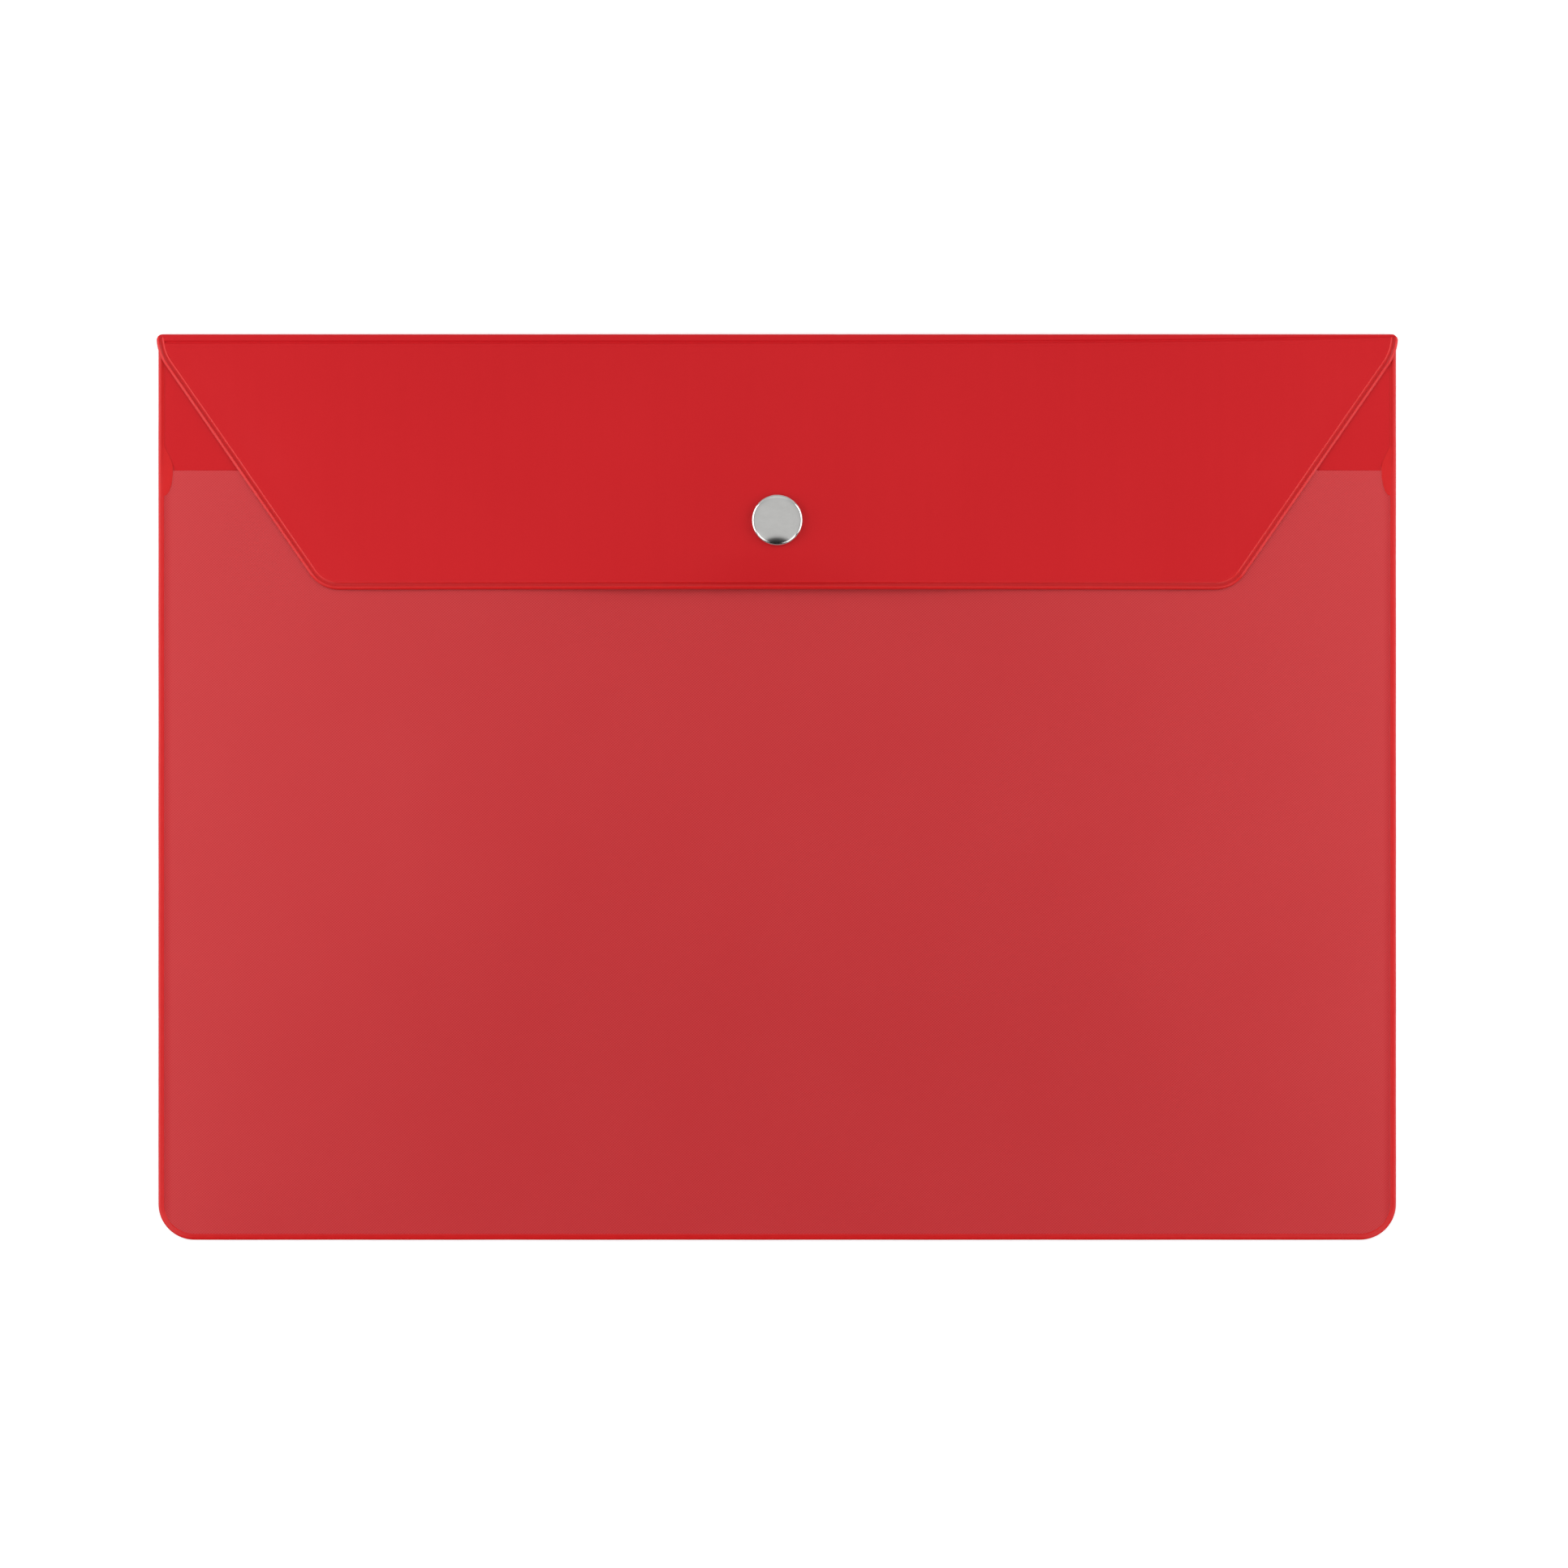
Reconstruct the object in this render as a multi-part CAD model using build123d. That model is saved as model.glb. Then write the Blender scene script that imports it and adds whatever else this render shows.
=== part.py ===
from build123d import *
import math
import os

# Document wallet with a press-stud flap, closed and lying on its back.
# Millimetres. X runs across the wallet, +Y towards the fold, +Z up from the table.
# The origin is on the table under the middle of the wallet.

# Sheets
body_width = 310.0  # across the welded side edges
body_height = 226.8  # lower edge to the outside of the fold
sheet_thickness = 0.3  # opaque sheet of back, fold and flap
film_thickness = 0.2  # translucent pocket film
corner_radius = 9.0  # lower corners
weld_width = 1.5  # fused band round sides and lower edge
weld_height = 0.6  # thickness of the fused bead

# Pocket
mouth_over_snap = 12.7  # axis of the press stud to the pocket's mouth
pocket_room = 4.6  # clear height under the crown of the film
crown_run = 110.0  # width over which the film rises from its welds
tab_length = 12.6  # half-oval weld tabs at the ends of the mouth
tab_reach = 2.2  # tabs beyond the inner line of the weld

# Fold and flap
fold_radius = 0.6  # middle of the sheet round the fold
fold_overhang = 0.4  # the fold's ends beyond the side edges
fold_corner_radius = 1.6  # the fold's ends rounded off in plan
flap_depth = 64.0  # outside of the fold to the flap's lower edge
flap_shoulder = 4.6  # upright part of the flap's sides below the fold
flap_lower_width = 228.6  # across the flap's lower corners before rounding
shoulder_radius = 12.5
flap_corner_radius = 9.0
bead_width = 1.8  # fused band round the flap
bead_proud = 0.15  # the band above and below the sheet
root_run = 0.8  # level start of the flap below the fold
level_margin = 1.5  # level part of the flap beyond the cap
bend_radius = 25.0  # gentle bends in the flap
bend_share = 0.18  # tangent length of a bend over its radius, for slopes up to 20 degrees
level_half_width = 9.0  # middle of the flap that stays level with the press stud
rise_half_width = 32.0  # half width over which the press stud lifts the flap
rise_gap = 1.4  # flap above the film there
drape_half_width = 70.0  # half width where the flap starts to follow the film down
drape_gap = 0.6753
corner_half_width = 110.0  # half width at the flap's lower corners
corner_gap = 0.6539
side_gap = 0.65  # at the flap's sides

# Press stud
snap_inset = 17.2  # flap's lower edge to the axis of the press stud
cap_radius = 6.4
cap_height = 2.0  # flap to the crown of the cap
cap_edge_height = 1.35  # flap to the shoulder of the cap
cap_wall = 0.35
cap_edge_round = 0.9
cap_hole_radius = 4.6  # inside of the cap's curled rim
cap_flange = 0.4  # thickness of the post's disc inside the cap
post_radius = 1.6  # barrels of both posts
post_wall = 0.35
flare_reach = 0.5  # rolled ends beyond the barrels
flare_thickness = 0.25
post_flange_radius = 4.5  # disc of the stud's post inside the pocket
post_flange = 0.4
stud_flange_radius = 4.8
stud_flange = 0.4
neck_radius = 2.3
head_radius = 2.7
head_cone = 0.25
head_land = 0.3
head_round = 0.4
socket_lip = 0.2
socket_wall = 0.6
socket_rim_reach = 0.7
socket_rim = 0.5
socket_floor = 0.35
wire_diameter = 0.8
spring_gap_angle = 30.0

# Clearances
post_clearance = 0.05  # barrels in their holes, flange in the cap
seat_gap = 0.15  # stud's flange to socket, snapped together
lip_clearance = 0.25  # stud's head through the socket's mouth
chamber_clearance = 0.5  # stud's head inside the socket
spring_clearance = 0.1  # spring round the neck and in its groove
spring_growth = 0.5  # room for the spring to open
top_clearance = 0.2  # stud's rolled end to the cap post's rolled end

# Places that follow from the sizes above
half_width = body_width / 2
top_y = body_height / 2
low_y = -body_height / 2
fold_z = fold_radius + sheet_thickness / 2
fold_y = top_y - fold_z
flap_low_y = top_y - flap_depth
snap_y = flap_low_y + snap_inset
mouth_y = snap_y + mouth_over_snap
weld_x = half_width - weld_width
corner_land = (corner_radius - weld_width) * (1 - math.sqrt(0.5))
foot_x = weld_x - corner_land
crest_x = foot_x - crown_run

film_low_z = sheet_thickness + pocket_room
film_top_z = film_low_z + film_thickness

groove_height = wire_diameter + spring_clearance
neck_top = stud_flange + seat_gap + socket_lip + wire_diameter
head_top = neck_top + head_cone + head_land + head_round
stud_top = head_top + flare_thickness
socket_low = stud_flange + seat_gap
groove_low = socket_low + socket_lip
groove_top = groove_low + groove_height
socket_ceiling = stud_top + top_clearance + flare_thickness
socket_top = socket_ceiling + socket_floor

flap_low_z = film_top_z + socket_top
flap_top_z = flap_low_z + sheet_thickness
root_low_z = fold_z + fold_radius - sheet_thickness / 2
bend_run = bend_share * bend_radius
slope_top_y = fold_y - root_run - bend_run
slope_low_y = snap_y + cap_radius + level_margin + bend_run
flap_half_top = half_width + fold_overhang
beyond = 20.0  # how far a cutter runs past what it cuts

hole_radius = post_radius + post_clearance
flare_radius = post_radius + flare_reach
spring_radius = neck_radius + spring_clearance + wire_diameter / 2
groove_radius = spring_radius + wire_diameter / 2 + spring_growth
socket_radius = groove_radius + socket_wall


def at_snap(z):
    return Pos(0, snap_y, z)


def turned(points):
    # solid of revolution about the press stud's axis from (radius, height) points
    outline = make_face(Plane.XZ * Polyline(*points, close=True))
    return revolve(outline, Axis.Z)


def below_line(plan, y):
    # the part of a plan below a line across the wallet
    wide = 2 * body_width
    return plan & Pos(0, y - wide / 2) * Rectangle(wide, wide)


def body_plan():
    tall = fold_y + beyond - low_y
    plan = Pos(0, low_y + tall / 2) * Rectangle(body_width, tall)
    lower = plan.vertices().group_by(Axis.Y)[0]
    return fillet(lower, corner_radius)


def tab_plan():
    oval = Ellipse(tab_reach, tab_length / 2)
    return Pos(weld_x, mouth_y) * oval + Pos(-weld_x, mouth_y) * oval


def top_plan():
    # everything below the fold's outside, with the fold's two ends rounded off
    plan = Pos(0, top_y - beyond) * Rectangle(2 * flap_half_top, 2 * beyond)
    return fillet(plan.vertices().group_by(Axis.Y)[-1], fold_corner_radius)


def flap_plan():
    slope_x = flap_lower_width / 2
    corners = [
        (-flap_half_top, fold_y + beyond),
        (-flap_half_top, top_y - flap_shoulder),
        (-slope_x, flap_low_y),
        (slope_x, flap_low_y),
        (flap_half_top, top_y - flap_shoulder),
        (flap_half_top, fold_y + beyond),
    ]
    plan = make_face(Polyline(*corners, close=True))
    rows = plan.vertices().group_by(Axis.Y)
    plan = fillet(rows[1], shoulder_radius)
    rows = plan.vertices().group_by(Axis.Y)
    return fillet(rows[0], flap_corner_radius)


# Body sheets

outer_plan = body_plan()
inner_plan = below_line(offset(outer_plan, -weld_width), fold_y)
outer_plan = below_line(outer_plan, fold_y)
weld_plan = (outer_plan - inner_plan) + (tab_plan() & outer_plan)


def make_back_panel():
    return extrude(inner_plan - tab_plan(), sheet_thickness)


def make_edge_weld():
    return extrude(weld_plan, weld_height)


def swell_side(crest, foot):
    # two arcs that leave a crest level and reach the foot level again
    middle = ((crest[0] + foot[0]) / 2, (crest[1] + foot[1]) / 2)
    outward = math.copysign(1, foot[0] - crest[0])
    upper = TangentArc(crest, middle, tangent=(outward, 0))
    lower = TangentArc(foot, middle, tangent=(-outward, 0))
    return [upper, lower]


def crown(lift):
    # space under the film: a swell across the wallet cut by a swell along it
    land_z = sheet_thickness + lift
    crest_z = sheet_thickness + pocket_room + lift
    across = make_face(
        [
            Line((-crest_x, crest_z), (crest_x, crest_z)),
            *swell_side((crest_x, crest_z), (foot_x, land_z)),
            Polyline((foot_x, land_z), (half_width, land_z), (half_width, -beyond)),
            Line((half_width, -beyond), (-half_width, -beyond)),
            Polyline((-half_width, -beyond), (-half_width, land_z), (-foot_x, land_z)),
            *swell_side((-crest_x, crest_z), (-foot_x, land_z)),
        ]
    )
    foot_y = low_y + weld_width + corner_land
    crest_y = foot_y + crown_run
    along = make_face(
        [
            Line((top_y, crest_z), (crest_y, crest_z)),
            *swell_side((crest_y, crest_z), (foot_y, land_z)),
            Polyline((foot_y, land_z), (low_y, land_z), (low_y, -beyond)),
            Polyline((low_y, -beyond), (top_y, -beyond), (top_y, crest_z)),
        ]
    )
    swell_across = extrude(Plane.XZ * across, body_height, both=True)
    swell_along = extrude(Plane.YZ * along, body_width, both=True)
    return swell_across & swell_along


def make_pocket_film():
    plan = below_line(inner_plan, mouth_y) - tab_plan()
    block = Pos(0, 0, sheet_thickness) * extrude(plan, film_top_z)
    film = (block & crown(film_thickness)) - crown(0)
    return film - at_snap(film_low_z) * Cylinder(hole_radius, beyond)


# Fold and flap

def make_fold():
    ring = Circle(fold_radius + sheet_thickness / 2) - Circle(fold_radius - sheet_thickness / 2)
    half_ring = ring & Pos(beyond / 2, 0) * Rectangle(beyond, beyond)
    tube = extrude(Plane.YZ * Pos(fold_y, fold_z) * half_ring, flap_half_top, both=True)
    return tube & extrude(top_plan(), 2 * fold_z)


def film_drop(x):
    # how far the film runs below its crest at a place across the wallet
    half_run = crown_run / 2
    half_drop = pocket_room / 2
    arc_radius = (half_run**2 + half_drop**2) / (2 * half_drop)
    from_crest = min(max(x - crest_x, 0), crown_run)
    along_arc = min(from_crest, crown_run - from_crest)
    fall = arc_radius - math.sqrt(arc_radius**2 - along_arc**2)
    return fall if from_crest < half_run else pocket_room - fall


def flap_sag(x, gap):
    # how much lower than at the press stud the flap runs, to keep a gap over the film
    return socket_top + film_drop(x) - gap


rise_sag = flap_sag(rise_half_width, rise_gap)
drape_sag = flap_sag(drape_half_width, drape_gap)
corner_sag = flap_sag(corner_half_width, corner_gap)
side_sag = flap_sag(flap_half_top, side_gap)


def flap_section(x, sag, proud):
    # the flap's sheet cut along Y: level root, slope, level part over the press stud
    def bent(lift):
        root_z = root_low_z + lift
        level_z = flap_low_z - sag + lift
        points = [
            (fold_y, root_z),
            (slope_top_y, root_z),
            (slope_low_y, level_z),
            (flap_low_y - beyond, level_z),
        ]
        return FilletPolyline(*points, radius=bend_radius)

    under = bent(-proud)
    over = bent(sheet_thickness + proud)
    root = Line(under @ 0, over @ 0)
    end = Line(under @ 1, over @ 1)
    return Plane.YZ.offset(x) * make_face([under, end, over, root])


def flap_sheet(proud):
    stations = [
        (-flap_half_top, side_sag),
        (-corner_half_width, corner_sag),
        (-drape_half_width, drape_sag),
        (-rise_half_width, rise_sag),
        (-level_half_width, 0.0),
        (level_half_width, 0.0),
        (rise_half_width, rise_sag),
        (drape_half_width, drape_sag),
        (corner_half_width, corner_sag),
        (flap_half_top, side_sag),
    ]
    return loft([flap_section(x, sag, proud) for x, sag in stations], ruled=True)


flap_outer_plan = flap_plan()
bead_plan = flap_outer_plan - offset(flap_outer_plan, -bead_width)
bead_plan = below_line(bead_plan, fold_y - root_run)
ends_cut = below_line(flap_outer_plan, fold_y) - below_line(flap_outer_plan, top_y - beyond) - top_plan()
sheet_plan = below_line(flap_outer_plan, fold_y) - bead_plan - ends_cut
bead_plan = bead_plan - ends_cut
tall_cut = flap_top_z + beyond


def make_flap_panel():
    column = extrude(sheet_plan, tall_cut)
    hole = at_snap(flap_low_z) * Cylinder(hole_radius, beyond)
    return (flap_sheet(0.0) & column) - hole


def make_flap_bead():
    column = extrude(bead_plan, tall_cut)
    return flap_sheet(bead_proud) & column


# Press stud

def make_cap_shell():
    def dome(radius, low_z, edge_z, crest_z, edge_round):
        side = Polyline((0, crest_z), (0, low_z), (radius, low_z), (radius, edge_z))
        top = TangentArc((0, crest_z), (radius, edge_z), tangent=(1, 0))
        face = make_face([side, top])
        corner = face.vertices().sort_by_distance((radius, edge_z))[0]
        return revolve(Plane.XZ * fillet(corner, edge_round), Axis.Z)

    shell = dome(cap_radius, 0, cap_edge_height, cap_height, cap_edge_round)
    hollow = dome(
        cap_radius - cap_wall,
        cap_wall,
        cap_edge_height - cap_wall / 2,
        cap_height - cap_wall,
        cap_edge_round - cap_wall,
    )
    return at_snap(flap_top_z) * (shell - hollow - Cylinder(cap_hole_radius, 4 * cap_wall))


def make_cap_post():
    flange_radius = cap_radius - cap_wall - post_clearance
    end = socket_ceiling + film_top_z - flap_top_z
    bore = post_radius - post_wall
    points = [
        (bore, end - flare_thickness),
        (flare_radius, end - flare_thickness),
        (flare_radius, end),
        (post_radius, end),
        (post_radius, cap_wall),
        (flange_radius, cap_wall),
        (flange_radius, cap_wall + cap_flange),
        (bore, cap_wall + cap_flange),
    ]
    return at_snap(flap_top_z) * turned(points)


def make_socket():
    lip_radius = head_radius + lip_clearance
    chamber_radius = head_radius + chamber_clearance
    points = [
        (lip_radius, socket_low),
        (socket_radius, socket_low),
        (socket_radius, socket_top - socket_rim),
        (socket_radius + socket_rim_reach, socket_top - socket_rim),
        (socket_radius + socket_rim_reach, socket_top),
        (hole_radius, socket_top),
        (hole_radius, socket_ceiling),
        (chamber_radius, socket_ceiling),
        (chamber_radius, groove_top),
        (groove_radius, groove_top),
        (groove_radius, groove_low),
        (lip_radius, groove_low),
    ]
    return at_snap(film_top_z) * turned(points)


def make_socket_spring():
    wire = Plane.XZ * Pos(spring_radius, 0) * Circle(wire_diameter / 2)
    ring = revolve(wire, Axis.Z, 360 - spring_gap_angle)
    return at_snap(film_top_z + groove_low + groove_height / 2) * ring


def make_stud():
    points = [
        (hole_radius, 0),
        (stud_flange_radius, 0),
        (stud_flange_radius, stud_flange),
        (neck_radius, stud_flange),
        (neck_radius, neck_top),
        (head_radius, neck_top + head_cone),
        (head_radius, neck_top + head_cone + head_land),
        (head_radius - head_round, head_top),
        (hole_radius, head_top),
    ]
    return at_snap(film_top_z) * turned(points)


def make_stud_post():
    bore = post_radius - post_wall
    points = [
        (bore, -film_thickness - post_flange),
        (post_flange_radius, -film_thickness - post_flange),
        (post_flange_radius, -film_thickness),
        (post_radius, -film_thickness),
        (post_radius, head_top),
        (flare_radius, head_top),
        (flare_radius, stud_top),
        (bore, stud_top),
    ]
    return at_snap(film_top_z) * turned(points)


nodes = {
    "back_panel": make_back_panel(),
    "edge_weld": make_edge_weld(),
    "pocket_film": make_pocket_film(),
    "fold": make_fold(),
    "flap_panel": make_flap_panel(),
    "flap_bead": make_flap_bead(),
    "cap_shell": make_cap_shell(),
    "cap_post": make_cap_post(),
    "socket": make_socket(),
    "socket_spring": make_socket_spring(),
    "stud": make_stud(),
    "stud_post": make_stud_post(),
}

os.makedirs("parts", exist_ok=True)
for name, shape in nodes.items():
    solids = shape.solids()
    print(name, "solids", len(solids), "volume", round(shape.volume, 2))
    export_step(solids[0] if len(solids) == 1 else shape, f"parts/{name}.step")
print("fold axis y", round(fold_y, 3), "z", round(fold_z, 3))
print("press stud axis y", round(snap_y, 3), "film top", round(film_top_z, 3))
print("flap over the press stud", round(flap_low_z, 3), "top", round(flap_top_z + cap_height, 3))
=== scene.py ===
import math

import bmesh
import bpy
import numpy as np
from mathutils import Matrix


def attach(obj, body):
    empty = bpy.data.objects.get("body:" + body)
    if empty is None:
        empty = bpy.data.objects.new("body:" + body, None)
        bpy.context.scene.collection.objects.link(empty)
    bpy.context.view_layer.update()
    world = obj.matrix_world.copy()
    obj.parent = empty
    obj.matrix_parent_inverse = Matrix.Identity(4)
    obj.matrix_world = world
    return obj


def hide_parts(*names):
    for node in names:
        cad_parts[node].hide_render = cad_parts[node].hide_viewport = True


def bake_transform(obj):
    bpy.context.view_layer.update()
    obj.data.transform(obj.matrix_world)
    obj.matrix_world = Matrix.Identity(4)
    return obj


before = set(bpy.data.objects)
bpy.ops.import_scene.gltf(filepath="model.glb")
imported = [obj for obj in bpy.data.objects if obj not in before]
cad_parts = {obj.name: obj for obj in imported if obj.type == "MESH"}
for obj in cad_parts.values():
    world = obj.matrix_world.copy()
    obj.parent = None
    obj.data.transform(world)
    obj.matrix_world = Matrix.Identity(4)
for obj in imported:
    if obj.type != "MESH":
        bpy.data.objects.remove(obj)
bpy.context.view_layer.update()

mm = 0.001
scene = bpy.context.scene
scene.view_settings.view_transform = "Standard"

# Places shared by several pieces, in millimetres, as the solids have them
place = {
    "halfWidth": 155.0,
    "lowY": -113.4,
    "topY": 113.4,
    "foldY": 112.65,
    "foldZ": 0.75,
    "foldRadius": 0.6,
    "sheet": 0.3,
    "film": 0.2,
    "filmTop": 5.1,
    "flapTop": 8.95,
    "flapLowY": 49.4,
    "mouthY": 79.3,
    "snapY": 66.6,
    "cornerRadius": 9.0,
    "weldWidth": 1.5,
    "tabHalf": 6.3,
    "tabReach": 2.2,
    "tabSlant": 1.4,
    "flapHalfTop": 155.4,
    "flapShoulderY": 108.8,
    "flapLowHalf": 114.3,
    "shoulderRadius": 12.5,
    "flapCornerRadius": 9.0,
    "endRadius": 1.6,
}
print("frame loaded:", len(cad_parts), "solids")


# Camera first: straight down on the wallet, as in the photograph

cameraSettings = {
    "lens": 200.0, "sensor": 36.0, "clip": (0.05, 50.0), "across": 392.8, "x": 1.7, "y": 0.77,
}


def makeCamera(c):
    data = bpy.data.cameras.new("wallet camera")
    data.lens = c["lens"]
    data.sensor_width = c["sensor"]
    distance = c["across"] * c["lens"] / c["sensor"]  # frame width over field of view
    data.clip_start, data.clip_end = c["clip"]
    camera = bpy.data.objects.new("wallet camera", data)
    camera.location = (c["x"] * mm, c["y"] * mm, distance * mm)
    scene.collection.objects.link(camera)
    scene.camera = camera


makeCamera(cameraSettings)
print("camera placed")


# Mesh helpers: all points are whole arrays in millimetres

def placeMesh(name, points, faces, sharpAngle=40.0, paintedLight=None):
    # signed volume: sum of the corner tetrahedra of all triangles; turned round if it is negative
    corners = [np.array([f[0], f[k], f[k + 1]]) for f in faces["rings"] for k in range(1, len(f) - 1)]
    quads = faces["quads"]
    triangles = [quads[:, [0, 1, 2]], quads[:, [0, 2, 3]]]
    if corners:
        triangles.append(np.array(corners))
    triangles = np.concatenate(triangles)
    a, b, c = (points[triangles[:, k]] for k in range(3))
    inward = np.einsum("ij,ij->i", a, np.cross(b, c)).sum() < 0
    polygons = quads.tolist() + [list(f) for f in faces["rings"]]
    if inward:
        polygons = [p[::-1] for p in polygons]
    mesh = bpy.data.meshes.new(name)
    mesh.from_pydata((points * mm).tolist(), [], polygons)
    if faces.get("poles"):
        work = bmesh.new()
        work.from_mesh(mesh)
        bmesh.ops.remove_doubles(work, verts=work.verts, dist=1e-8)
        work.to_mesh(mesh)
        work.free()
    mesh.polygons.foreach_set("use_smooth", np.ones(len(mesh.polygons), bool))
    mesh.set_sharp_from_angle(angle=math.radians(sharpAngle))
    # a per-point share of painted highlight and painted shade, which the fused bands' finish reads
    if paintedLight is not None:
        mesh.attributes.new("paintedLight", "FLOAT", "POINT").data.foreach_set("value", paintedLight.ravel())
    mesh.update()
    piece = bpy.data.objects.new(name, mesh)
    scene.collection.objects.link(piece)
    return piece


def gridQuads(index):
    return np.stack([index[:-1, :-1], index[1:, :-1], index[1:, 1:], index[:-1, 1:]], -1).reshape(-1, 4)


def sheetSolid(name, over, under):
    # a thin closed sheet: an upper and a lower grid of points, joined by a wall round their rims
    rows, columns = over.shape[:2]
    count = rows * columns
    index = np.arange(count).reshape(rows, columns)
    rim = np.concatenate([index[0, :-1], index[:-1, -1], index[-1, :0:-1], index[:0:-1, 0]])
    ahead = np.roll(rim, -1)
    wall = np.stack([rim, ahead, ahead + count, rim + count], 1)
    quads = np.concatenate([gridQuads(index), gridQuads(index)[:, ::-1] + count, wall])
    points = np.concatenate([over.reshape(-1, 3), under.reshape(-1, 3)])
    return placeMesh(name, points, {"quads": quads, "rings": []})


def sweptSolid(name, rings, sharpAngle=40.0, paintedLight=None):
    # a closed outline carried along an open path: stations x outline points x 3, with flat ends
    stations, around = rings.shape[:2]
    index = np.arange(stations * around).reshape(stations, around)
    wrapped = np.concatenate([index, index[:, :1]], 1)
    ends = [index[0].tolist()[::-1], index[-1].tolist()]
    faces = {"quads": gridQuads(wrapped)[:, ::-1], "rings": ends}
    return placeMesh(name, rings.reshape(-1, 3), faces, sharpAngle, paintedLight)


def turnedSolid(name, profile, y, z, closed=True, segments=112):
    # a profile of (radius, height) points turned about the press stud's axis
    angle = np.linspace(0, 2 * np.pi, segments, endpoint=False)
    r, h = profile[:, :1], profile[:, 1:]
    points = np.stack([r * np.cos(angle), y + r * np.sin(angle), z + h + 0 * angle], -1)
    index = np.arange(points.shape[0] * segments).reshape(-1, segments)
    index = np.concatenate([index, index[:, :1]], 1)
    if closed:
        index = np.concatenate([index, index[:1]], 0)
    faces = {"quads": gridQuads(index), "rings": [], "poles": not closed}
    return placeMesh(name, points.reshape(-1, 3), faces, sharpAngle=50.0)


def softened(corners, cut, steps=5, share=0.42):
    # a closed outline whose corners become parabolas that leave each side at cut from the corner,
    # or at that share of a short side
    v = np.array(corners, float)
    before, after = np.roll(v, 1, 0) - v, np.roll(v, -1, 0) - v
    lengthA = np.linalg.norm(before, axis=1, keepdims=True)
    lengthB = np.linalg.norm(after, axis=1, keepdims=True)
    a = v + before / lengthA * np.minimum(cut, share * lengthA)
    b = v + after / lengthB * np.minimum(cut, share * lengthB)
    t = np.linspace(0, 1, steps)[None, :, None]
    curve = (1 - t) ** 2 * a[:, None] + 2 * t * (1 - t) * v[:, None] + t**2 * b[:, None]
    return curve.reshape(-1, 2)


def roundedPath(corners, radii, arcSteps=40):
    # straight runs joined by arcs; gives length along the path, place and heading at each knot
    corners = np.array(corners, float)
    runs = np.diff(corners, axis=0)
    heading = np.unwrap(np.arctan2(runs[:, 1], runs[:, 0]))
    xs, ys, hs = [corners[:1, 0]], [corners[:1, 1]], [heading[:1]]
    for k, radius in enumerate(radii):
        turn = heading[k + 1] - heading[k]
        cut = radius * math.tan(abs(turn) / 2)
        along = np.array([math.cos(heading[k]), math.sin(heading[k])])
        start = corners[k + 1] - cut * along
        h = np.linspace(heading[k], heading[k + 1], arcSteps)
        side = math.copysign(radius, turn)
        centre = start + side * np.array([-along[1], along[0]])
        xs.append(centre[0] + side * np.sin(h))
        ys.append(centre[1] - side * np.cos(h))
        hs.append(h)
    xs.append(corners[-1:, 0])
    ys.append(corners[-1:, 1])
    hs.append(heading[-1:])
    x, y, h = (np.concatenate(v) for v in (xs, ys, hs))
    length = np.concatenate([[0], np.cumsum(np.hypot(np.diff(x), np.diff(y)))])
    return {"s": length, "x": x, "y": y, "h": h}


def alongPath(path, s):
    # place on the path and the direction to its left, at the lengths s
    x, y, h = (np.interp(s, path["s"], path[k]) for k in ("x", "y", "h"))
    return np.stack([x, y], -1), np.stack([-np.sin(h), np.cos(h)], -1)


def ripple(s, waves):
    # a sum of sines, each given as (height, wavelength, phase)
    return sum(h * np.sin(2 * np.pi * s / w + p) for h, w, p in waves)


def smoothRise(t, start=0.0, run=1.0):
    # from nought to one over a run, level at both ends
    t = np.clip((t - start) / run, 0, 1)
    return t * t * (3 - 2 * t)


def softHinge(t, width):
    # nought below, rising evenly above, with a rounded start of that width
    return (t + np.sqrt(t * t + width * width)) / 2


# Heights of the two sheets that don't lie flat

flapForm = {
    "rootRun": 0.8,
    "levelY": 74.5,
    "bendShare": 0.241,
    "drape": [(9.0, 0.0, 5.0), (32.0, 2.15, 15.0), (70.0, 3.5, 15.0), (110.0, 6.2, 12.0), (155.4, 7.5, 0.0)],
    "settleGap": 0.42,
    "settleReach": 10.0,
    "mouthRise": 5.0,
    "foldKeep": 1.0,
    "blendRun": 9.0,
    "droopFrom": 59.8,
    "droopGap": 1.6,
    "droopRound": 0.3,
    "droopKnee": 0.3,
    "creaseDepth": 0.32,
    "creaseWidth": 0.23,
    "creaseInset": 1.96,
    "creaseLean": 1.6,
    "creaseRise": 1.45,
    "creaseTurn": (-60.0, 210.0),
    "creaseCurve": 4.5,
    "ridgeShare": 0.25,
    "ridgePlace": 2.0,
}


def flapSag(x, f=flapForm):
    # how much lower the flap runs away from the press stud: straight between stations,
    # each given as (half width, drop, roundness of the knee)
    half, drop, knee = np.array(f["drape"]).T
    slopes = np.diff(drop) / np.diff(half)
    turns = np.diff(slopes, prepend=0.0)

    def sag(off):
        return sum(turn * softHinge(off - start, width) for turn, start, width in zip(turns, half, knee))

    return sag(np.abs(x)) - sag(0.0)


def flapHeight(x, y, f=flapForm):
    # middle of the flap's sheet: level root, even slope with rounded ends, level at the press stud,
    # lower at the sides
    p = place
    rootY = p["foldY"] - f["rootRun"]
    rootZ = p["foldZ"] + p["foldRadius"]
    levelZ = p["flapTop"] - p["sheet"] / 2
    t = np.clip((rootY - y) / (rootY - f["levelY"]), 0, 1)
    b = f["bendShare"]
    ends = 2 * b * (1 - b)
    ramp = np.where(t < b, t * t / ends, np.where(t > 1 - b, 1 - (1 - t) ** 2 / ends, (t - b / 2) / (1 - b)))
    return settled(x, y, rootZ + (levelZ - flapSag(x) - rootZ) * ramp)


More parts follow.
